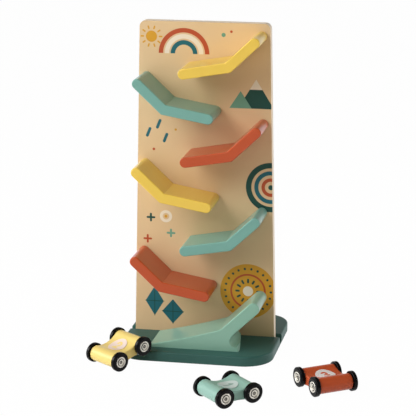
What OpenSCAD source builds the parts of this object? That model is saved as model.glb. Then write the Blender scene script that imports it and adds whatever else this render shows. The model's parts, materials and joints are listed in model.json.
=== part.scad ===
// Click clack track: a wooden tower of staggered V ramps on a grooved base, with three
// free cars. All sizes are in millimetres. The origin is the centre of the underside of
// the base, +Z is up, the ramps stand out of the panel towards -Y.

/* [Base] */
// Width of the base, left to right
base_w = 181; // [170:1:200]
// Depth of the base, front to back
base_d = 172; // [160:1:190]
// Thickness of the base board
base_t = 12; // [11:0.5:15]
// Radius of the base's corners, seen from above
base_corner_r = 34; // [24:1:40]
// Rounding along the base's edges
base_edge_r = 2; // [1:0.5:3]
// Depth of the groove that the panel stands in
groove_depth = 8.4; // [6:0.2:8.6]
// Width of the small bevel along both mouths of the groove
groove_bevel = 0.8; // [0.4:0.2:1.2]

/* [Panel] */
// Width of the panel at the top face of the base
panel_bottom_w = 166.8; // [160:0.2:168]
// Width of the panel at its top edge
panel_top_w = 151.4; // [148:0.2:156]
// Height of the panel above the base
panel_h = 370; // [365:1:380]
// Thickness of the panel board
panel_t = 12; // [11:0.5:13]
// Radius of the panel's two top corners
panel_corner_r = 7; // [4:0.5:12]
// How far the middle of the panel lies behind the middle of the base
panel_set_back = 1.5; // [0:0.5:4]
// Gap on each side of the panel in its groove
groove_clearance = 0.1; // [0.05:0.05:0.2]

/* [Ramps] */
// Thickness of the ramp boards
ramp_t = 12; // [11:0.5:13]
// How far each ramp stands out of the panel
ramp_depth = 52.6; // [50:0.2:56]
// Length of the low arm's running face, from the valley to its round end
ramp_low_len = 50.2; // [46:0.2:52]
// Length of the steep arm's running face, from the valley to its round end
ramp_steep_len = 39.5; // [36:0.5:41]
// Slope of the low arm
ramp_low_angle = 10.1; // [8:0.1:12]
// Slope of the steep arm
ramp_steep_angle = 43.2; // [38:0.2:46]
// Radius of the corner under each ramp's valley
ramp_corner_r = 2.5; // [2:0.1:3]
// Rounding along the ramps' front and back edges
ramp_edge_r = 1.2; // [0.6:0.2:1.6]
// Drop from the top of the panel to the first valley
first_drop = 37; // [34:1:42]
// Drop from the first valley to the second
ramp_step = 50.3; // [49:0.1:51]
// Amount by which each later step is longer than the one before
ramp_step_growth = 0.7; // [0:0.1:0.8]
// Distance of each valley from the panel's edge at that height
valley_inset = 42.9; // [42:0.1:46]
// Extra inset of the lowest right-hand ramp, which hands over to the exit ramp
handover_inset = 2.7; // [0:0.1:4]

/* [Exit ramp] */
// Distance of the exit ramp's back face in front of the panel
exit_gap = 11.2; // [9:0.2:13]
// Valley of the exit ramp, to the right of the middle
exit_valley_x = 31; // [28:0.5:34]
// Height of the exit ramp's valley above the base
exit_valley_z = 25.2; // [23:0.2:27]
// Distance of the thin end of the exit ramp to the left of the middle
exit_tip_x = 52; // [48:0.5:54]
// Radius of the thin end
exit_tip_r = 1.8; // [1.4:0.1:2.2]
// Depth of the slight hollow along the low running face
exit_hollow = 1.2; // [0.6:0.2:2]
// Slope of the exit ramp's steep arm
exit_steep_angle = 44; // [40:0.5:46]
// Thickness of the steep arm
exit_arm_t = 14.4; // [13:0.2:15]
// Length of the steep arm's running face, from the valley to its round end
exit_steep_len = 45.6; // [42:0.2:48]
// Radius of the blend in the valley
exit_blend_r = 12; // [9:0.5:14]
// Radius of the scoop under the steep arm
scoop_r = 7.6; // [6.6:0.2:8]
// Height of the scoop's middle above the base
scoop_z = 12.2; // [11:0.2:12.6]
// Reach of the foot beyond the scoop's middle
foot_reach = 3; // [2:0.1:6]
// Share of that reach over which the foot's end slopes down
foot_toe_share = 0.75; // [0.4:0.05:0.9]
// Length of the foot's end that is square to the front face
foot_square = 9; // [6:1:20]
// How much shorter the foot is at its back than at its front
foot_slant = 6.4; // [1:0.2:6.6]

/* [Screws] */
// Diameter of the countersunk screws' shanks
screw_d = 3.5; // [3:0.1:4]
// Diameter of their heads
screw_head_d = 7; // [6.4:0.1:7.6]
// Height of their conical heads
screw_head_h = 2; // [1.6:0.1:2.4]
// Length of the screws that hold the ramps to the panel
ramp_screw_len = 32; // [28:1:36]
// Length of the screws that hold the panel to the base
panel_screw_len = 26; // [22:1:30]
// Length of the screws that hold the exit ramp to the base
exit_screw_len = 22; // [20:1:24]
// Distance between neighbouring panel screws
panel_screw_pitch = 56; // [50:1:64]
// Distance between the exit ramp's two screws
exit_screw_pitch = 24; // [20:1:26]

/* [Car body] */
// Distance between a car's two axles
wheelbase = 36; // [34:0.5:38]
// Radius of the car's round ends, which lie on the axles
end_r = 9; // [8.6:0.1:9.4]
// Half the thickness of the waist between the axles
waist_half = 5.5; // [4.8:0.1:6]
// How far the middle of the waist lies below the axles
waist_drop = 1.1; // [0.6:0.1:1.4]
// Width of the wooden body
body_w = 41; // [38:0.5:41]
// Rounding along the body's edges
body_edge_r = 1.4; // [0.8:0.1:1.8]
// Radius of the number disc on the roof
disc_r = 11.2; // [9:0.2:12]
// Thickness of the number disc
disc_t = 0.5; // [0.4:0.1:0.8]

/* [Car wheels] */
// Radius of the wheels at the tread
wheel_r = 11.2; // [11:0.1:11.8]
// Width of a wheel from its inner to its outer face
wheel_w = 4.7; // [4.6:0.1:5.2]
// Width of the tread
tread_w = 4; // [3.6:0.1:4.2]
// Depth of the step from the tread to the outer shoulder
shoulder_step = 1.6; // [1:0.1:1.8]
// Rounding of the tread's and shoulder's edges
tyre_edge_r = 0.5; // [0.3:0.1:0.6]
// Radius of the ringed hub cap
cap_r = 6.3; // [5.8:0.1:7]
// Thickness of the hub cap's plate
cap_t = 0.9; // [0.7:0.1:1]
// Depth of the plate below the wheel's outer face
cap_sink = 0.3; // [0.1:0.1:0.4]
// Radius of the beads that form the cap's two rings
cap_bead_r = 0.75; // [0.6:0.05:0.8]
// Radius of the steel axles
axle_r = 1.25; // [1.1:0.05:1.5]
// Gap between a wheel's inner face and the body
wheel_gap = 0.5; // [0.4:0.1:0.8]
// Running clearance of the axle in the body
axle_clearance = 0.1; // [0.06:0.02:0.1]

/* [Car places] */
// Where the mint car stands: to the right of the middle, and in front of the base
mint_car_x = 62.6; // [56:0.2:70]
// Distance of the mint car's middle from the base's front edge
mint_car_out = 107.7; // [100:0.1:120]
// Heading of the mint car, in degrees from +X
mint_car_heading = 222; // [215:1:228]
// Distance of the red car's middle from the base's right edge
red_car_right = 71.5; // [66:0.5:80]
// Distance of the red car's middle from the base's front edge
red_car_out = 53.1; // [50:0.1:60]
// Heading of the red car, in degrees from +X
red_car_heading = 306.3; // [300:0.1:312]
// Heading of the yellow car, in degrees from +X
yellow_car_heading = 231.9; // [230:0.1:235]
// Place on the base's front left corner where the yellow car's rear wheel rests, in degrees
perch_angle = 210.5; // [209:0.1:215]
// Distance of that place behind the yellow car's rear axle
perch_back = 4.4; // [3:0.1:5]
// Gap between the resting wheel and the base
perch_gap = 0.3; // [0.2:0.05:0.4]

/* [Hidden] */
$fn = 72;
CARS = ["yellow_car", "mint_car", "red_car"];
CORNERS = ["front_left", "front_right", "rear_left", "rear_right"];
RAMPS = ["ramp_1", "ramp_2", "ramp_3", "ramp_4", "ramp_5", "ramp_6"];

// Overrun of every cut past the face that it opens
cut = 1;
// Extra radius with which round corners and blends cross the faces that they join
crossing = 0.03;
// Gap under the number discs, which is the glue's
glue_gap = 0.1;
// Clearance of a screw in the board that it passes through
screw_clearance = 0.15;
// Clearance of a screw, pin or cap in the hole that holds it
seat_clearance = 0.02;

RAMP_COLOURS = ["#e2c052", "#7aa59a", "#b25032"];
CAR_COLOURS = ["#f3da82", "#96beaf", "#b45532"];
CORNER_SIGNS = [[1, 1], [1, -1], [-1, 1], [-1, -1]];

// Panel, in the frame of the part
panel_front_y = panel_set_back - panel_t / 2;
panel_back_y = panel_set_back + panel_t / 2;
panel_foot_z = base_t - groove_depth;
panel_top_z = base_t + panel_h;
panel_lean = atan((panel_bottom_w - panel_top_w) / 2 / panel_h);

// Half the width of the panel at height z
function panel_half(z) = panel_top_w / 2 + (panel_top_z - z) * tan(panel_lean);

// Valleys of the six ramps on the panel: side (1 right, -1 left), then x and z
function valley_drop(k) = first_drop + ramp_step * k + ramp_step_growth * k * (k - 1) / 2;
function valley_z(k) = panel_top_z - valley_drop(k);
function valley_side(k) = k % 2 == 0 ? 1 : -1;
function valley_x(k) =
    valley_side(k) * (panel_half(valley_z(k)) - valley_inset - (k == 4 ? handover_inset : 0));

// Screw places on a right-hand ramp, as x and z from its valley, half the board below the face
low_screw_share = 0.62;
steep_screw_share = 0.6;
RAMP_SCREWS = [
    [-cos(ramp_low_angle), -sin(ramp_low_angle)] * ramp_low_len * low_screw_share
        + [sin(ramp_low_angle), -cos(ramp_low_angle)] * ramp_t / 2,
    [cos(ramp_steep_angle), sin(ramp_steep_angle)] * ramp_steep_len * steep_screw_share
        + [sin(ramp_steep_angle), -cos(ramp_steep_angle)] * ramp_t / 2
];

// Exit ramp: its back face, the low face's chord and the round hollow in that face
exit_back_y = panel_front_y - exit_gap;
exit_valley = [exit_valley_x, exit_valley_z];
exit_tip = [-exit_tip_x + exit_tip_r, 2 * exit_tip_r];
exit_chord = exit_valley - exit_tip;

// Direction that stands square on a running face of slope a
function exit_normal(a) = [-sin(a), cos(a)];

exit_chord_len = norm(exit_chord);
exit_low_angle = atan2(exit_chord[1], exit_chord[0]);
hollow_r = (pow(exit_chord_len / 2, 2) + pow(exit_hollow, 2)) / 2 / exit_hollow;
hollow_centre = (exit_valley + exit_tip) / 2
    + [-sin(exit_low_angle), cos(exit_low_angle)] * (hollow_r - exit_hollow);
scoop_line = [sin(exit_steep_angle), -cos(exit_steep_angle)];
// The scoop touches the steep arm's underside, so its middle follows from its height
scoop_x = exit_valley_x
    + (exit_arm_t + scoop_r + (scoop_z - exit_valley_z) * cos(exit_steep_angle))
        / sin(exit_steep_angle);
scoop_centre = [scoop_x, scoop_z];
// Slope of the hollow face where it meets the valley, and the blend that joins the two faces
exit_end_slope = exit_low_angle + asin(exit_chord_len / 2 / hollow_r);
blend_half = (exit_steep_angle - exit_end_slope) / 2;
blend_middle_angle = (exit_steep_angle + exit_end_slope) / 2;
blend_centre = exit_valley
    + [-sin(blend_middle_angle), cos(blend_middle_angle)] * exit_blend_r / cos(blend_half);

// Car: the hollow roof and belly, at h from the axles, are arcs that run into the round ends
function arc_r(h) = (pow(wheelbase / 2, 2) - pow(end_r, 2) + pow(h, 2)) / 2 / (end_r - h);
function tangent_x(h) = wheelbase / 2 * (1 - end_r / (arc_r(h) + end_r));
function tangent_z(h) = end_r * (h + arc_r(h)) / (arc_r(h) + end_r);
roof_h = waist_half - waist_drop;
belly_h = waist_half + waist_drop;
wheel_inner_y = body_w / 2 + wheel_gap;
cap_seat_depth = cap_t + cap_sink;
axle_len = 2 * (wheel_inner_y + wheel_w - cap_seat_depth - 2 * seat_clearance);

// The yellow car stands with its front wheels on the floor and one rear wheel on the base's
// rounded edge, which slopes there as the wheel does
perch_slope = asin(perch_back / wheel_r);
perch_lift = base_t - (base_edge_r + wheel_r) * (1 - cos(perch_slope)) + perch_gap;
perch_pitch = asin(perch_lift / wheelbase);
perch_point = [-base_w / 2 + base_corner_r, -base_d / 2 + base_corner_r]
    + [cos(perch_angle), sin(perch_angle)] * (base_corner_r - base_edge_r * (1 - sin(perch_slope)));
yellow_forward = [cos(yellow_car_heading), sin(yellow_car_heading)];
yellow_right = [sin(yellow_car_heading), -cos(yellow_car_heading)];
yellow_place = perch_point + yellow_forward * (wheelbase / 2 * cos(perch_pitch) + perch_back)
    - yellow_right * wheel_inner_y;

// Middle of each car, its heading and how far its nose dips
CAR_PLACES = [
    [yellow_place[0], yellow_place[1], wheel_r + perch_lift / 2, yellow_car_heading, perch_pitch],
    [mint_car_x, -base_d / 2 - mint_car_out, wheel_r, mint_car_heading, 0],
    [base_w / 2 + red_car_right, -base_d / 2 - red_car_out, wheel_r, red_car_heading, 0]
];

// Rectangle with four round corners, centred
module rounded_section(w, h, r) {
    square([w - 2 * r, h], center = true);
    square([w, h - 2 * r], center = true);
    for (x = [-1, 1], y = [-1, 1])
        translate([x * (w / 2 - r), y * (h / 2 - r)]) circle(r);
}

// Cylinder along Z, centred, whose two rims are rounded
module soft_roller(r, len, edge_r) {
    rotate_extrude() {
        translate([0, -len / 2]) square([r - edge_r, len]);
        translate([0, -len / 2 + edge_r]) square([r, len - 2 * edge_r]);
        for (y = [-1, 1])
            translate([r - edge_r, y * (len / 2 - edge_r)]) circle(edge_r);
    }
}

// Board lying flat on z = 0 with round corners and soft edges
module soft_board(w, d, t, corner_r, edge_r) {
    translate([0, 0, t / 2]) {
        rotate([90, 0, 0])
            linear_extrude(d - 2 * corner_r, center = true) rounded_section(w, t, edge_r);
        rotate([90, 0, 90])
            linear_extrude(w - 2 * corner_r, center = true) rounded_section(d, t, edge_r);
        for (x = [-1, 1], y = [-1, 1])
            translate([x * (w / 2 - corner_r), y * (d / 2 - corner_r), 0])
                soft_roller(corner_r, t, edge_r);
    }
}

// Tool that hollows a face with an arc along Y and leaves the face's two rims rounded
module soft_hollow(r, width, edge_r) {
    rotate([90, 0, 0]) rotate_extrude() {
        translate([0, -width / 2 - cut]) square([r, width + 2 * cut]);
        for (m = [0, 1]) mirror([0, m]) difference() {
            translate([r / 2, width / 2 - edge_r]) square([r / 2 + edge_r, edge_r + cut]);
            translate([r + edge_r, width / 2 - edge_r]) circle(edge_r);
        }
    }
}

// Countersunk screw along -Z with its head's top at z = 0
module countersunk_screw(len) {
    tip_h = screw_d;
    difference() {
        union() {
            translate([0, 0, -screw_head_h])
                cylinder(h = screw_head_h, d1 = screw_d, d2 = screw_head_d);
            translate([0, 0, -len + tip_h])
                cylinder(h = len - tip_h - screw_head_h, d = screw_d);
            translate([0, 0, -len])
                cylinder(h = tip_h, d1 = screw_d / 6, d2 = screw_d);
        }
        for (a = [0, 90]) rotate([0, 0, a]) translate([0, 0, -screw_head_h * 0.3])
            linear_extrude(screw_head_h) square([screw_head_d / 2, screw_d / 4], center = true);
    }
}

// Hole for a countersunk screw: clear through the board, then tight in the piece behind
module screw_hole(board_t, len) {
    translate([0, 0, -screw_head_h - seat_clearance])
        cylinder(h = screw_head_h + seat_clearance, d1 = screw_d + 2 * screw_clearance,
            d2 = screw_head_d + 2 * seat_clearance);
    translate([0, 0, -board_t]) cylinder(h = board_t, d = screw_d + 2 * screw_clearance);
    translate([0, 0, -len - cut]) cylinder(h = len, d = screw_d + 2 * seat_clearance);
}

// Places at the underside of the base of the screws that hold the panel and the exit ramp
module at_panel_screws() {
    for (k = [-1, 0, 1])
        translate([k * panel_screw_pitch, panel_set_back, 0]) rotate([180, 0, 0]) children();
}

module at_exit_screws() {
    for (k = [-1, 1])
        translate([exit_valley_x - exit_screw_pitch + k * exit_screw_pitch / 2,
                exit_back_y - ramp_depth / 2, 0])
            rotate([180, 0, 0]) children();
}

// Places at the back of the panel of the two screws of ramp k
module at_ramp_screws(k) {
    for (p = RAMP_SCREWS)
        translate([valley_x(k) + valley_side(k) * p[0], panel_back_y, valley_z(k) + p[1]])
            rotate([-90, 0, 0]) children();
}

// Base board with the through groove that the panel stands in
module base() {
    color("#3e625c") difference() {
        soft_board(base_w, base_d, base_t, base_corner_r, base_edge_r);
        groove_cut();
        at_panel_screws() screw_hole(panel_foot_z, panel_screw_len);
        at_exit_screws() screw_hole(base_t, exit_screw_len);
    }
}

module groove_cut() {
    half = panel_t / 2 + groove_clearance;
    translate([0, panel_set_back, 0]) rotate([90, 0, 90])
        linear_extrude(base_w + 2 * cut, center = true)
            polygon([
                [-half, panel_foot_z], [half, panel_foot_z],
                [half, base_t - groove_bevel], [half + groove_bevel, base_t],
                [half + groove_bevel, base_t + cut], [-half - groove_bevel, base_t + cut],
                [-half - groove_bevel, base_t], [-half, base_t - groove_bevel]
            ]);
}

// Tapered panel with two round top corners
module panel() {
    color("#d8b68c") difference() {
        translate([0, panel_back_y, 0]) rotate([90, 0, 0])
            linear_extrude(panel_t) panel_outline();
        for (k = [0 : len(RAMPS) - 1])
            at_ramp_screws(k) screw_hole(panel_t, ramp_screw_len);
        at_panel_screws() screw_hole(panel_foot_z, panel_screw_len);
    }
}

module panel_outline() {
    top = panel_top_w / 2;
    foot = panel_half(panel_foot_z);
    tangent = panel_corner_r / tan((90 + panel_lean) / 2);
    side = [top + tangent * sin(panel_lean), panel_top_z - tangent * cos(panel_lean)];
    middle = [top - tangent, panel_top_z - panel_corner_r];
    polygon([
        [-foot, panel_foot_z], [foot, panel_foot_z], side, middle,
        [middle[0], panel_top_z], [-middle[0], panel_top_z],
        [-middle[0], middle[1]], [-side[0], side[1]]
    ]);
    for (s = [-1, 1]) translate([s * middle[0], middle[1]]) circle(panel_corner_r);
}

// One arm of a ramp along +X, running face at z = 0, that starts short of the origin
module ramp_arm(len, t, depth, overlap) {
    translate([-overlap, -depth / 2, -t / 2]) rotate([90, 0, 90])
        linear_extrude(len + overlap) rounded_section(depth, t, ramp_edge_r);
    translate([len, -depth / 2, -t / 2]) rotate([90, 0, 0])
        soft_roller(t / 2, depth, ramp_edge_r);
}

// Right-hand ramp, valley at the origin: the two arms overlap down to the rounded corner
module ramp_blank() {
    corner_drop = ramp_t - ramp_corner_r;
    overlap = corner_drop * tan((ramp_steep_angle - ramp_low_angle) / 2);
    mirror([1, 0, 0]) rotate([0, ramp_low_angle, 0])
        ramp_arm(ramp_low_len, ramp_t, ramp_depth, overlap);
    rotate([0, -ramp_steep_angle, 0]) {
        ramp_arm(ramp_steep_len, ramp_t, ramp_depth, overlap);
        translate([-overlap, -ramp_depth / 2, -corner_drop]) rotate([90, 0, 0])
            soft_roller(ramp_corner_r + crossing, ramp_depth - 2 * crossing, ramp_edge_r);
    }
}

// Ramp k with the pilot holes of its two screws
module ramp(k) {
    color(RAMP_COLOURS[k % 3]) difference() {
        translate([valley_x(k), panel_front_y, valley_z(k)])
            mirror([valley_side(k) == 1 ? 0 : 1, 0, 0]) ramp_blank();
        at_ramp_screws(k) screw_hole(panel_t, ramp_screw_len);
    }
}

// Solid exit ramp: hollow low face, blended valley, thick steep arm over a round scoop
module exit_ramp() {
    color("#7da08c") difference() {
        translate([0, exit_back_y, base_t]) {
            exit_wedge();
            translate([exit_valley_x, 0, exit_valley_z]) rotate([0, -exit_steep_angle, 0])
                ramp_arm(exit_steep_len, exit_arm_t, ramp_depth, exit_arm_t / 4);
            exit_blend();
        }
        at_exit_screws() screw_hole(base_t, exit_screw_len);
    }
}

// Side view of a solid in the XZ plane, taken back by the ramps' depth
module across_ramp() {
    rotate([90, 0, 0]) linear_extrude(ramp_depth) children();
}

module exit_wedge() {
    arm_root = exit_valley + scoop_line * (exit_arm_t / 2);
    over = exit_valley + [cos(blend_middle_angle), sin(blend_middle_angle)] * exit_arm_t / 2;
    touch = scoop_centre - scoop_line * scoop_r;
    lip = scoop_centre - [0, scoop_r];
    toe = lip + [foot_reach * (1 - foot_toe_share), 0];
    difference() {
        across_ramp() difference() {
            polygon([
                [exit_tip[0], 0], [scoop_x + foot_reach, 0], toe, lip, touch,
                touch - scoop_line * (exit_arm_t / 2), arm_root, over, exit_tip
            ]);
            translate(scoop_centre) circle(scoop_r + crossing);
        }
        translate([hollow_centre[0], -ramp_depth / 2, hollow_centre[1]])
            soft_hollow(hollow_r, ramp_depth, ramp_edge_r, $fn = 360);
        foot_cut();
    }
    translate([exit_tip[0], -ramp_depth / 2, exit_tip_r]) rotate([90, 0, 0])
        soft_roller(exit_tip_r, ramp_depth, exit_tip_r / 2);
}

// Tool that shortens the foot towards its back
module foot_cut() {
    slanted_len = ramp_depth - foot_square;
    translate([scoop_x + foot_reach, -slanted_len, -cut])
        rotate([0, 0, atan(foot_slant / slanted_len)])
            cube([foot_slant + cut, ramp_depth, scoop_z + cut]);
}

// Piece that fills the valley under the blend's arc
module exit_blend() {
    low = blend_centre - exit_normal(exit_end_slope) * exit_blend_r;
    high = blend_centre - exit_normal(exit_steep_angle) * exit_blend_r;
    sink = 2 * ramp_edge_r;
    difference() {
        across_ramp() polygon([
            low, high, high - exit_normal(exit_steep_angle) * sink,
            exit_valley - exit_normal(blend_middle_angle) * sink,
            low - exit_normal(exit_end_slope) * sink
        ]);
        translate([blend_centre[0], -ramp_depth / 2, blend_centre[1]])
            soft_hollow(exit_blend_r + crossing, ramp_depth, ramp_edge_r);
    }
}

module ramp_screws() {
    color("#b9bcc0") for (k = [0 : len(RAMPS) - 1])
        at_ramp_screws(k) countersunk_screw(ramp_screw_len);
}

module panel_screws() {
    color("#b9bcc0") at_panel_screws() countersunk_screw(panel_screw_len);
}

module exit_ramp_screws() {
    color("#b9bcc0") at_exit_screws() countersunk_screw(exit_screw_len);
}

// Moves its children from a car's own frame (X forward, Y left) to car c's place
module place_car(c) {
    p = CAR_PLACES[c];
    translate([p[0], p[1], p[2]]) rotate([0, 0, p[3]]) rotate([0, p[4], 0]) children();
}

// Wooden car body: two round ends on the axles, hollow roof and belly between them
module car_body(c) {
    color(CAR_COLOURS[c]) place_car(c) difference() {
        union() {
            for (s = [-1, 1]) translate([s * wheelbase / 2, 0, 0]) rotate([90, 0, 0])
                soft_roller(end_r, body_w, body_edge_r);
            car_waist();
        }
        for (s = [-1, 1]) translate([s * wheelbase / 2, 0, 0]) rotate([90, 0, 0])
            cylinder(h = body_w + 2 * cut, r = axle_r + axle_clearance, center = true);
    }
}

// Block between the axles whose ends lie where the hollows meet the round ends
module car_waist() {
    difference() {
        rotate([90, 0, 0]) linear_extrude(body_w, center = true) polygon([
            [wheelbase / 2, 0],
            [tangent_x(roof_h), tangent_z(roof_h)], [-tangent_x(roof_h), tangent_z(roof_h)],
            [-wheelbase / 2, 0],
            [-tangent_x(belly_h), -tangent_z(belly_h)], [tangent_x(belly_h), -tangent_z(belly_h)]
        ]);
        translate([0, 0, roof_h + arc_r(roof_h)])
            soft_hollow(arc_r(roof_h), body_w, body_edge_r, $fn = 180);
        translate([0, 0, -belly_h - arc_r(belly_h)])
            soft_hollow(arc_r(belly_h), body_w, body_edge_r, $fn = 180);
    }
}

// Round number disc that follows the hollow of the roof
module car_disc(c) {
    under_r = arc_r(roof_h) - glue_gap;
    color("#efe9df") place_car(c) intersection() {
        cylinder(h = end_r, r = disc_r);
        translate([0, 0, roof_h + arc_r(roof_h)]) rotate([90, 0, 0]) difference() {
            cylinder(h = 2 * body_w, r = under_r, center = true, $fn = 180);
            cylinder(h = 3 * body_w, r = under_r - disc_t, center = true, $fn = 180);
        }
    }
}

// Steel pin that carries the two wheels of one end (1 front, -1 rear)
module car_axle(c, end) {
    color("#c8cacc") place_car(c) translate([end * wheelbase / 2, 0, 0]) rotate([90, 0, 0])
        cylinder(h = axle_len, r = axle_r, center = true);
}

// Moulded wheel, inner face at z = 0, with tread, stepped shoulder and a seat for the cap
module wheel_blank() {
    shoulder_r = wheel_r - shoulder_step;
    web_r = cap_r - 2 * cap_bead_r;
    recess_depth = 2 * tyre_edge_r;
    rotate_extrude() difference() {
        union() {
            translate([0, 0]) square([wheel_r - tyre_edge_r, tread_w]);
            translate([0, tyre_edge_r]) square([wheel_r, tread_w - 2 * tyre_edge_r]);
            for (y = [tyre_edge_r, tread_w - tyre_edge_r])
                translate([wheel_r - tyre_edge_r, y]) circle(tyre_edge_r);
            square([shoulder_r - tyre_edge_r, wheel_w]);
            square([shoulder_r, wheel_w - tyre_edge_r]);
            translate([shoulder_r - tyre_edge_r, wheel_w - tyre_edge_r]) circle(tyre_edge_r);
        }
        translate([-cut, -cut]) square([axle_r + seat_clearance + cut, wheel_w + 2 * cut]);
        translate([-cut, wheel_w - cap_seat_depth - seat_clearance])
            square([cap_r + seat_clearance + cut, cap_seat_depth + cut]);
        translate([web_r, -recess_depth])
            square([shoulder_r - shoulder_step - web_r, 2 * recess_depth]);
    }
}

module car_wheel(c, end, side) {
    color("#1c1c1e") place_car(c)
        translate([end * wheelbase / 2, side * wheel_inner_y, 0])
            rotate([-side * 90, 0, 0]) wheel_blank();
}

// Ringed hub cap: a plate with two round beads and a shallow bowl in its middle
module cap_blank() {
    outer_bead = cap_r - cap_bead_r;
    inner_bead = cap_r / 2 + cap_bead_r / 2;
    rotate_extrude() difference() {
        union() {
            square([cap_r, cap_t]);
            for (x = [outer_bead, inner_bead]) translate([x, cap_t]) circle(cap_bead_r);
        }
        translate([-cut, -cap_bead_r - cut]) square([2 * cap_r, cap_bead_r + cut]);
        translate([0, cap_t + axle_r]) circle(axle_r + cap_t / 2);
        translate([-cap_r, 0]) square([cap_r, 4 * cap_t]);
    }
}

module car_hub_caps(c, end) {
    color("#d9d8d2") place_car(c) for (side = [-1, 1])
        translate([end * wheelbase / 2, side * (wheel_inner_y + wheel_w - cap_seat_depth), 0])
            rotate([-side * 90, 0, 0]) cap_blank();
}

base();
panel();
for (k = [0 : len(RAMPS) - 1])
    ramp(k);
exit_ramp();
ramp_screws();
panel_screws();
exit_ramp_screws();
for (c = [0 : len(CARS) - 1]) {
    car_body(c);
    car_disc(c);
    car_axle(c, 1);
    car_axle(c, -1);
    car_hub_caps(c, 1);
    car_hub_caps(c, -1);
    for (k = [0 : len(CORNERS) - 1])
        car_wheel(c, CORNER_SIGNS[k][0], CORNER_SIGNS[k][1]);
}
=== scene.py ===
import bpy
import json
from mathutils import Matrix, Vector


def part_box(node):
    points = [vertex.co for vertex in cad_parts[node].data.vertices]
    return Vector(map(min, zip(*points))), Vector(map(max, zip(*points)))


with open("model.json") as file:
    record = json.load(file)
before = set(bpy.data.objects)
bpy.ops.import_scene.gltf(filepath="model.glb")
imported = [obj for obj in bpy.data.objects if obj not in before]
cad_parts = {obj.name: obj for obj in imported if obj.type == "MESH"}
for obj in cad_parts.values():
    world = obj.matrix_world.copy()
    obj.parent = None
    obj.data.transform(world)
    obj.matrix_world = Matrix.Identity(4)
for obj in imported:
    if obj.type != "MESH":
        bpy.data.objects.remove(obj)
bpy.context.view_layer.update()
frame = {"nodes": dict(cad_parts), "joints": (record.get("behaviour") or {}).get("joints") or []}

import json
import math

import bpy
from mathutils import Matrix, Vector


# Base board: 12 mm thick, with round corners and a routed groove, sprayed dark green on
# all sides. The spray leaves a faint orange peel, and its sheen is slightly cloudy.

WHITE = (1.0, 1.0, 1.0, 1.0)
# Waves per metre of a paint's clouds, specks and orange peel
CLOUDS, SPECKS, PEEL = 9.0, 420.0, 300.0
# Heights of fine and of coarser relief, in metres
FINE, COARSE = 0.00003, 0.00004


class Tone:
    """The output of a shader node, which Python's operators carry on with Math nodes."""

    def __init__(self, nodes, socket):
        self.nodes, self.socket = nodes, socket

    def output(self, name):
        """Another output of the same node."""
        return Tone(self.nodes, self.socket.node.outputs[name])

    def math(self, operation, *others):
        values = dict(enumerate((self,) + others))
        return self.nodes.node("ShaderNodeMath", {"operation": operation}, values)

    def __add__(self, other):
        return self.math("ADD", other)

    __radd__ = __add__

    def __sub__(self, other):
        return self.math("SUBTRACT", other)

    def __rsub__(self, other):
        return self * -1 + other

    def __mul__(self, other):
        return self.math("MULTIPLY", other)

    __rmul__ = __mul__

    def __truediv__(self, other):
        return self.math("DIVIDE", other)

    def __pow__(self, other):
        return self.math("POWER", other)

    def __abs__(self):
        return self.math("ABSOLUTE")

    def __neg__(self):
        return self * -1

    def least(self, other):
        return self.math("MINIMUM", other)

    def most(self, other):
        return self.math("MAXIMUM", other)

    def fade(self, start, end):
        """Goes from 0 at start to 1 at end, and stays at 0 and 1 outside them."""
        return ((self - start) / (end - start)).most(0.0).least(1.0)


class Nodes:
    """A node tree, with one method that adds any node with its settings and values."""

    def __init__(self, tree):
        self.tree = tree

    def node(self, kind, settings=None, values=None, output=0):
        made = self.tree.nodes.new(kind)
        for name, setting in (settings or {}).items():
            if name == "stops":
                self.set_stops(made.color_ramp.elements, setting)
            else:
                setattr(made, name, setting)
        for name, value in (values or {}).items():
            self.feed(made.inputs[name], value)
        return Tone(self, made.outputs[output])

    def set_stops(self, elements, stops):
        while len(elements) < len(stops):
            elements.new(1.0)
        for element, (position, colour) in zip(elements, stops):
            element.position, element.color = position, colour

    def feed(self, socket, value):
        if isinstance(value, Tone):
            self.tree.links.new(value.socket, socket)
        else:
            socket.default_value = value


class Finish(Nodes):
    """A material with one Principled shader, and the nodes that feed it."""

    def __init__(self, name, **constants):
        self.material = bpy.data.materials.new(name)
        self.material.use_nodes = True
        super().__init__(self.material.node_tree)
        self.shader = self.tree.nodes["Principled BSDF"]
        for socket, value in constants.items():
            self.shader.inputs[socket.replace("_", " ")].default_value = value

    def place(self):
        return self.node("ShaderNodeTexCoord", output="Object")

    def noise(self, scale, detail=2.0, where=None):
        values = {"Vector": where or self.place(), "Scale": scale, "Detail": detail}
        return self.node("ShaderNodeTexNoise", values=values, output="Fac")

    def blend(self, share, under, over):
        """Colour that goes from under to over as share goes from 0 to 1."""
        factor, first, second, result = 0, 6, 7, 2
        values = {factor: share, first: under, second: over}
        return self.node("ShaderNodeMix", {"data_type": "RGBA"}, values, result)

    def colour(self, value):
        self.feed(self.shader.inputs["Base Color"], value)

    def roughness(self, value):
        self.feed(self.shader.inputs["Roughness"], value)

    def bump(self, height, depth, strength):
        values = {"Height": height, "Distance": depth, "Strength": strength}
        self.feed(self.shader.inputs["Normal"], self.node("ShaderNodeBump", values=values))


def tint(red, green, blue):
    """Linear colour from the 0 to 255 values of a paint chart."""
    def linear(v):
        v = v / 255
        return v / 12.92 if v <= 0.04045 else ((v + 0.055) / 1.055) ** 2.4
    return (linear(red), linear(green), linear(blue), 1.0)


def shade(colour, share):
    return tuple(channel * share for channel in colour[:3]) + (1.0,)


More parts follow.
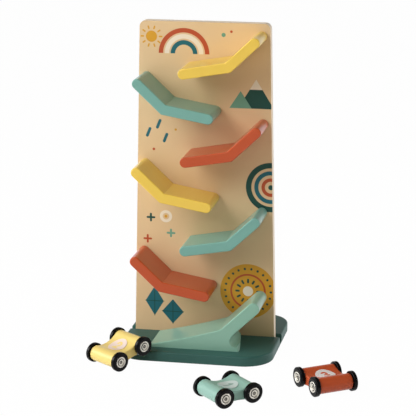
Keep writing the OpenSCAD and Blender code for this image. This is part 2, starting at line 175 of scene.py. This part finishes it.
def satin_paint(name, colour, sheen, lacquer):
    """Paint that is cloudy by two percent, under a satin lacquer of the given weight.
    Returns the finish and its colour."""
    paint = Finish(name, IOR=1.3, Coat_Weight=lacquer, Coat_Roughness=0.22, Coat_IOR=1.35)
    cloud, speck = paint.noise(CLOUDS), paint.noise(SPECKS, detail=1.0)
    dull, bright = shade(colour, 0.975), shade(colour, 1.02)
    coat = paint.blend((cloud * 0.8 + speck * 0.2).fade(0.25, 0.75), dull, bright)
    paint.colour(coat)
    paint.roughness(cloud * 0.05 + speck * 0.01 + (sheen - 0.03))
    paint.bump(paint.noise(PEEL, detail=1.0), FINE, 0.06)
    return paint, coat


def dress(finish, *names):
    for name in names:
        mesh = frame["nodes"][name].data
        if not mesh.materials:
            mesh.materials.append(finish.material)
        for slot in range(len(mesh.materials)):
            mesh.materials[slot] = finish.material


base_paint, _ = satin_paint("base_green_paint", tint(53, 94, 88), sheen=0.45, lacquer=0.0)
dress(base_paint, "base")


# Panel: a tapered 12 mm board, painted tan on both faces and left pale on its sawn edges.
# Its front carries a screen print of plain shapes: arches, suns, peaks, drops and kites.

# Millimetres in a metre
MM = 1000.0
# Soft edge of a printed shape, in millimetres
PRINT_EDGE = 0.25
# Depths below a painted face between which its paint fades into the sawn edge, in
# millimetres
LAP_START, LAP_END = 0.35, 0.65
# The grain of the sawn edges, which runs up the board
GRAIN, GRAIN_STRETCH = 90.0, (6.0, 1.0, 0.35)


class Sheet:
    """A face as a drawing sheet: x to the right and z up, in millimetres. A shape is the
    distance from its outline, negative inside it, and ink is the colour printed so far."""

    def __init__(self, finish, x, z, ground):
        self.finish, self.x, self.z, self.ink = finish, x, z, ground

    def stamp(self, shape, colour):
        inside = shape.fade(PRINT_EDGE / 2, -PRINT_EDGE / 2)
        self.ink = self.finish.blend(inside, self.ink, colour)

    def disc(self, x, z, radius):
        return ((self.x - x) ** 2 + (self.z - z) ** 2) ** 0.5 - radius

    def ring(self, x, z, radius, half_width):
        return abs(self.disc(x, z, radius)) - half_width

    def bar(self, start, end, half_width):
        run = (end[0] - start[0], end[1] - start[1])
        length = run[0] ** 2 + run[1] ** 2
        across, up = self.x - start[0], self.z - start[1]
        along = (across * run[0] + up * run[1]).fade(0.0, length)
        off = (across - along * run[0]) ** 2 + (up - along * run[1]) ** 2
        return off ** 0.5 - half_width

    def kite(self, x, z, half_width, half_height):
        return (abs(self.x - x) / half_width + abs(self.z - z) / half_height - 1) * half_width

    def rays(self, x, z, count, inner, outer, half_width):
        """Bars around a point: the angle is folded, so that one bar stands for all."""
        step = math.tau / count
        angle = (self.z - z).math("ARCTAN2", self.x - x)
        folded = (angle / step).math("PINGPONG", 0.5) * step
        reach = self.disc(x, z, 0)
        off, along = folded.math("SINE") * reach, folded.math("COSINE") * reach
        past = (along - outer).most(inner - along).most(0.0)
        return (past ** 2 + off ** 2) ** 0.5 - half_width

    def above(self, z):
        """All of the sheet above a height, to cut another shape with."""
        return z - self.z


def print_panel(sheet):
    deep, teal, sea = tint(34, 78, 70), tint(38, 104, 116), tint(110, 160, 138)
    brick, mustard, cream = tint(186, 84, 52), tint(214, 158, 52), tint(238, 226, 208)
    # Three arches, a small sun and two dots over the first ramp
    for radius, colour in ((27, brick), (20, cream), (13, teal)):
        sheet.stamp(sheet.ring(-24, 345, radius, 2.6).most(sheet.above(345)), colour)
    sheet.stamp(sheet.disc(-62, 364, 6.5), mustard)
    sheet.stamp(sheet.rays(-62, 364, 10, 9.5, 12.0, 0.9), mustard)
    sheet.stamp(sheet.disc(22, 368, 2.4), sea)
    sheet.stamp(sheet.disc(31, 372, 1.5), brick)
    # Two peaks on the right, the higher one with a pale cap
    for x, wide, high, foot, colour in (
            (60, 21, 34, 284, deep), (42, 13, 20, 284, sea), (60, 21, 34, 306, cream)):
        sheet.stamp(sheet.kite(x, 284, wide, high).most(sheet.above(foot)), colour)
    # Three slanted drops and two dots on the left
    for x, z in ((-66, 252), (-54, 262), (-46, 246)):
        sheet.stamp(sheet.bar((x - 1.6, z - 4), (x + 1.6, z + 4), 1.7), teal)
    sheet.stamp(sheet.disc(-60, 232, 1.6), brick)
    sheet.stamp(sheet.disc(-34, 256, 1.4), mustard)
    # Half a target at the right edge
    for radius, half, colour in ((26, 3.2, deep), (17, 2.4, teal), (9, 2.0, brick)):
        sheet.stamp(sheet.ring(78, 192, radius, half), colour)
    sheet.stamp(sheet.disc(78, 192, 3), deep)
    # Crosses and a ring on the left
    for x, z, colour in ((-64, 150, deep), (-40, 132, sea), (-68, 124, brick)):
        sheet.stamp(sheet.bar((x - 4, z), (x + 4, z), 1.2), colour)
        sheet.stamp(sheet.bar((x, z - 4), (x, z + 4), 1.2), colour)
    sheet.stamp(sheet.ring(-46, 152, 5.6, 1.7), cream)
    sheet.stamp(sheet.disc(-46, 152, 1.8), mustard)
    # Big sun on the right with a chain of dots
    sheet.stamp(sheet.disc(52, 66, 33), mustard)
    sheet.stamp(sheet.rays(52, 66, 22, 27, 27.4, 1.3), deep)
    sheet.stamp(sheet.ring(52, 66, 20, 1.1), brick)
    sheet.stamp(sheet.rays(52, 66, 12, 11, 14, 1.2), deep)
    sheet.stamp(sheet.disc(52, 66, 6), cream)
    # Two crossed kites at the foot
    for x, z, wide, high in ((-60, 48, 11, 18), (-38, 36, 13, 15)):
        sheet.stamp(sheet.kite(x, z, wide, high), teal)
        sheet.stamp(sheet.bar((x, z - high), (x, z + high * 0.7), 0.45), deep)
        sheet.stamp(sheet.bar((x - wide, z), (x + wide, z), 0.45), deep)


def dress_panel():
    paint, coat = satin_paint("panel_tan_paint", tint(225, 196, 154), sheen=0.42, lacquer=0.0)
    place = paint.node("ShaderNodeSeparateXYZ", values={"Vector": paint.place()})
    x, y, z = [place.output(axis) * MM for axis in "XYZ"]
    sheet = Sheet(paint, x, z, coat)
    print_panel(sheet)
    front, back = [corner.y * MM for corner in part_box("panel")]
    middle = (front + back) / 2
    faces = paint.blend(y.fade(middle, middle - 1), coat, sheet.ink)
    # The sawn edges are what lies between the two painted faces
    stretched = paint.node("ShaderNodeMapping",
                           values={"Vector": paint.place(), "Scale": GRAIN_STRETCH})
    grain = paint.noise(GRAIN, detail=4.0, where=stretched)
    wood = paint.blend(grain, tint(232, 214, 188), tint(246, 234, 216))
    depth = (y - front).least(back - y)
    paint.colour(paint.blend(depth.fade(LAP_START, LAP_END), faces, wood))
    dress(paint, "panel")


dress_panel()


# Six ramps: V boards of 12 mm stock, sanded round all over and sprayed in three colours,
# each held by two screws from behind the panel.

RAMP_SHEEN, RAMP_LACQUER = 0.33, 0.6

for name, colour, ramps in (("ramp_yellow_paint", tint(236, 201, 84), ("ramp_1", "ramp_4")),
                            ("ramp_mint_paint", tint(117, 170, 160), ("ramp_2", "ramp_5")),
                            ("ramp_red_paint", tint(188, 78, 36), ("ramp_3", "ramp_6"))):
    ramp_paint, _ = satin_paint(name, colour, RAMP_SHEEN, RAMP_LACQUER)
    dress(ramp_paint, *ramps)


# Exit ramp: one solid block on the base, sawn out with a scoop under its arm, sprayed sage
# and lacquered like the other ramps.

exit_paint, _ = satin_paint("exit_sage_paint", tint(139, 184, 166), RAMP_SHEEN, RAMP_LACQUER)
dress(exit_paint, "exit_ramp")


# Screws: zinc-plated steel with countersunk heads, which show only on the panel's back and
# on the underside of the base.

# Waves per metre of the scuffs
SCUFFS = 700.0


def plated_steel(name, colour):
    steel = Finish(name, Metallic=1.0)
    scuff = steel.noise(SCUFFS, detail=3.0)
    steel.colour(steel.blend(scuff, shade(colour, 0.86), colour))
    steel.roughness(scuff * 0.2 + 0.22)
    steel.bump(scuff, FINE, 0.4)
    return steel


dress(plated_steel("screw_zinc", tint(196, 198, 202)),
      "ramp_screws", "panel_screws", "exit_ramp_screws")


# Car bodies: waisted blocks of solid wood, sprayed in the ramps' colours, two of them
# paler, under a thinner lacquer.

CARS = ("yellow_car", "mint_car", "red_car")

for car, colour in zip(CARS, (tint(236, 212, 128), tint(143, 185, 174), tint(190, 83, 46))):
    car_paint, _ = satin_paint(car + "_paint", colour, sheen=0.4, lacquer=0.3)
    dress(car_paint, car + "_body")


# Number discs: pale round labels in the hollows of the roofs. The printed number's foot
# points to the nose, so a child reads it from the front.

def spin_joint(car, end):
    return next(joint for joint in frame["joints"] if joint["name"] == car + end + "_spin")


def vector_math(finish, operation, *values, output="Vector"):
    return finish.node("ShaderNodeVectorMath", {"operation": operation},
                       dict(enumerate(values)), output)


def roof_sheet(finish, car, ground):
    """Drawing sheet on a roof: x to the car's left, z to its rear, from its middle."""
    front, rear = [Vector(spin_joint(car, end)["pos_m"]) for end in ("_front", "_rear")]
    left = Vector(spin_joint(car, "_front")["axis"]).normalized()
    backward = (rear - front).normalized()
    away = vector_math(finish, "SUBTRACT", finish.place(), (front + rear) / 2)
    x, z = [vector_math(finish, "DOT_PRODUCT", away, direction, output="Value") * MM
            for direction in (left, backward)]
    return Sheet(finish, x, z, ground)


def numeral_one(sheet):
    stem = sheet.bar((0.8, -5.4), (0.8, 5.4), 1.3)
    flag = sheet.bar((0.8, 5.4), (-2.2, 3.2), 1.2)
    return stem.least(flag)


def numeral_two(sheet):
    kept = (2.2 - sheet.z).least((-sheet.x).most(0.9 - sheet.z))
    bowl = sheet.ring(0, 2.5, 2.9, 1.4).most(kept)
    slant = sheet.bar((2.4, 1.0), (-2.8, -5.0), 1.35)
    foot = sheet.bar((-2.8, -5.0), (3.2, -5.0), 1.35)
    return bowl.least(slant).least(foot)


def numeral_three(sheet):
    upper = sheet.ring(-0.1, 2.7, 2.6, 1.4).most((-0.4 - sheet.x).least(3.2 - sheet.z))
    lower = sheet.ring(0, -2.6, 2.8, 1.4).most((-0.4 - sheet.x).least(sheet.z + 3.1))
    waist = sheet.bar((-0.9, 0.1), (0.3, 0.1), 1.2)
    return upper.least(lower).least(waist)


for car, numeral, paper, ink in (
        ("yellow_car", numeral_two, tint(240, 222, 214), tint(244, 220, 134)),
        ("mint_car", numeral_one, tint(196, 212, 210), tint(128, 164, 156)),
        ("red_car", numeral_three, tint(228, 224, 224), tint(204, 88, 44))):
    label = Finish(car + "_label_print", IOR=1.45)
    fleck = label.noise(SPECKS)
    sheet = roof_sheet(label, car, label.blend(fleck, shade(paper, 0.97), paper))
    sheet.stamp(numeral(sheet), ink)
    label.colour(sheet.ink)
    label.roughness(fleck * 0.12 + 0.40)
    label.bump(fleck, COARSE, 0.4)
    dress(label, car + "_disc")


# Axles: plain steel pins, of which a sliver shows in the gap beside each wheel.

AXLE_ENDS = [(car, end) for car in CARS for end in ("_front", "_rear")]

dress(plated_steel("axle_steel", tint(206, 208, 210)),
      *[car + end + "_axle" for car, end in AXLE_ENDS])


# Wheels: moulded black plastic with a stepped shoulder. The mould leaves fine turned
# rings on the faces and a slightly duller tread.

# Radii between which a wheel's shoulder turns into its tread, in millimetres
SHOULDER, TREAD = 10.9, 11.1
# Radians of the turned rings per millimetre, and waves of the dust per metre
TURNED_RINGS, DUST = 9.0, 260.0


def axle_distance(finish, car, end):
    """Distance from an axle's middle line, in millimetres."""
    joint = spin_joint(car, end)
    line = Vector(joint["axis"]).normalized()
    away = vector_math(finish, "SUBTRACT", finish.place(), joint["pos_m"])
    turned = vector_math(finish, "CROSS_PRODUCT", away, line)
    return vector_math(finish, "LENGTH", turned, output="Value") * MM


for car, end in AXLE_ENDS:
    wheel = Finish(car + end + "_wheel_plastic", IOR=1.2)
    radius, dust = axle_distance(wheel, car, end), wheel.noise(DUST, detail=3.0)
    wheel.colour(wheel.blend(dust, tint(8, 8, 10), tint(17, 17, 20)))
    wheel.roughness(dust * 0.04 + radius.fade(SHOULDER, TREAD) * 0.06 + 0.12)
    rings = (radius * TURNED_RINGS).math("SINE")
    wheel.bump(rings * 0.5 + dust * 0.4, COARSE, 0.5)
    dress(wheel, *[car + "_wheel" + end + side for side in ("_left", "_right")])


# Hub caps: pressed caps with two bright beads and a dull bowl in the middle. The groove inside
# each bead is painted almost black, as painted shade. The finish follows the distance from the
# axle.

CAP_RADIUS = 6.3
# Waves per metre of the wear
WEAR = 500.0
# Share of the radius and colour of each ring, with the near-black grooves as painted shade
CAP_RINGS_AND_GROOVE_SHADE = ((0.0, tint(184, 180, 172)), (0.12, tint(140, 136, 128)), (0.17, tint(40, 38, 35)),
             (0.28, tint(34, 32, 30)), (0.34, tint(236, 232, 222)), (0.55, tint(240, 236, 226)),
             (0.60, tint(20, 19, 18)), (0.70, tint(20, 19, 18)), (0.75, tint(238, 234, 224)),
             (0.93, tint(243, 239, 231)), (1.0, tint(206, 202, 192)))

for car, end in AXLE_ENDS:
    cap = Finish(car + end + "_cap_metal", Metallic=0.55)
    worn = cap.noise(WEAR, detail=3.0)
    # Colours by distance from the axle, with painted shade in the grooves
    rings = cap.node("ShaderNodeValToRGB", {"stops": CAP_RINGS_AND_GROOVE_SHADE},
                     {"Fac": axle_distance(cap, car, end) / CAP_RADIUS})
    cap.colour(cap.blend(worn * 0.16, rings, tint(150, 146, 138)))
    cap.roughness(worn * 0.2 + 0.24)
    cap.bump(worn, FINE, 0.4)
    dress(cap, car + end + "_hub_caps")


# Floor: white paper, which the camera sees almost as bright as the sky, with a soft shadow.

# Waves per metre of the paper's fibres
FIBRES = 60.0


def viewing_rays(nodes):
    """Whether a ray comes from the camera, and whether from a reflection or from glass."""
    camera = nodes.node("ShaderNodeLightPath", output="Is Camera Ray")
    return camera, camera.output("Is Glossy Ray").most(camera.output("Is Transmission Ray"))


def mix_shaders(nodes, share, under, over):
    return nodes.node("ShaderNodeMixShader", values={0: share, 1: under, 2: over})


def paper_floor(size, whiteness):
    bpy.ops.object.select_all(action="DESELECT")
    bpy.ops.mesh.primitive_plane_add(size=size, location=(0.0, 0.0, 0.0))
    floor = bpy.context.object
    floor.name = "floor"
    paper = Finish("floor_paper", Roughness=0.9)
    fibre = paper.noise(FIBRES, detail=4.0)
    paper.colour(paper.blend(fibre, tint(240, 239, 237), tint(246, 245, 243)))
    camera, mirrored = viewing_rays(paper)
    glow = paper.node("ShaderNodeEmission", values={"Color": WHITE})
    surface = Tone(paper, paper.shader.outputs[0])
    mixed = mix_shaders(paper, camera.most(mirrored) * whiteness, surface, glow)
    paper.feed(paper.tree.nodes["Material Output"].inputs["Surface"], mixed)
    floor.data.materials.append(paper.material)


paper_floor(size=12.0, whiteness=0.985)


# Light: a big soft box high on the left in front, a weak one high in front, a lower one on
# the left, and a weak low one on the right. The sky looks white behind the toys and adds
# little.

NEUTRAL, WARM = (1.0, 1.0, 1.0), (1.0, 0.99, 0.97)


def white_sky(strength, colour):
    world = bpy.data.worlds.new("sky")
    bpy.context.scene.world = world
    world.use_nodes = True
    sky = Nodes(world.node_tree)
    light = sky.tree.nodes["Background"]
    light.inputs["Color"].default_value = colour
    light.inputs["Strength"].default_value = strength
    backdrop = sky.node("ShaderNodeBackground", values={"Color": WHITE})
    heading = sky.node("ShaderNodeTexCoord", output="Generated")
    axes = sky.node("ShaderNodeSeparateXYZ", values={"Vector": heading})
    # Reflections find the white only behind the toys, and low down
    behind, low = axes.output("Y").fade(-0.4, 0.2667), axes.output("Z").fade(0.4667, 0.3)
    camera, mirrored = viewing_rays(sky)
    seen = camera.most(mirrored * behind * low)
    mixed = mix_shaders(sky, seen, Tone(sky, light.outputs[0]), backdrop)
    sky.feed(sky.tree.nodes["World Output"].inputs["Surface"], mixed)


def soft_box(name, place, target, width, height, power, colour):
    lamp = bpy.data.lights.new(name, "AREA")
    lamp.shape, lamp.size, lamp.size_y = "RECTANGLE", width, height
    lamp.energy, lamp.color = power, colour
    box = bpy.data.objects.new(name, lamp)
    bpy.context.scene.collection.objects.link(box)
    box.location = place
    box.rotation_euler = (Vector(target) - Vector(place)).to_track_quat("-Z", "Y").to_euler()


white_sky(strength=0.11, colour=(1.0, 0.78, 0.52, 1.0))
# Name, place, what it is aimed at, width and height in metres, watts and colour
soft_box("key_box", (-1.55, -1.95, 2.0), (0.0, 0.0, 0.2), 1.8, 1.8, 58.0, WARM)
soft_box("front_box", (0.5, -2.2, 1.9), (0.0, 0.0, 0.15), 1.4, 1.4, 7.0, WARM)
soft_box("left_box", (-1.8, -0.3, 0.8), (0.0, 0.0, 0.15), 1.0, 1.0, 24.0, NEUTRAL)
soft_box("right_box", (1.0, 0.3, 0.3), (0.05, 0.0, 0.12), 1.0, 0.6, 4.5, NEUTRAL)


# Camera: a long lens 2.3 m away, to the right of the middle and above the toys.

PHOTO_SIDE, FOCAL_PIXELS, SENSOR = 416, 1902, 36.0
CAMERA_PLACE = (0.4109, -2.1137, 0.7046)
# Which way the right and the lower edge of the picture lie
RIGHT, DOWN = Vector((0.98186, 0.18961, 0.00103)), Vector((0.04723, -0.23931, -0.96979))

lens = bpy.data.cameras.new("camera")
lens.sensor_width = SENSOR
lens.lens = FOCAL_PIXELS / PHOTO_SIDE * SENSOR
camera = bpy.data.objects.new("camera", lens)
bpy.context.scene.collection.objects.link(camera)
forward = RIGHT.cross(DOWN)
turn = Matrix((RIGHT, -DOWN, -forward)).transposed().to_4x4()
camera.matrix_world = Matrix.Translation(CAMERA_PLACE) @ turn
bpy.context.scene.camera = camera
bpy.context.scene.view_settings.view_transform = "Standard"
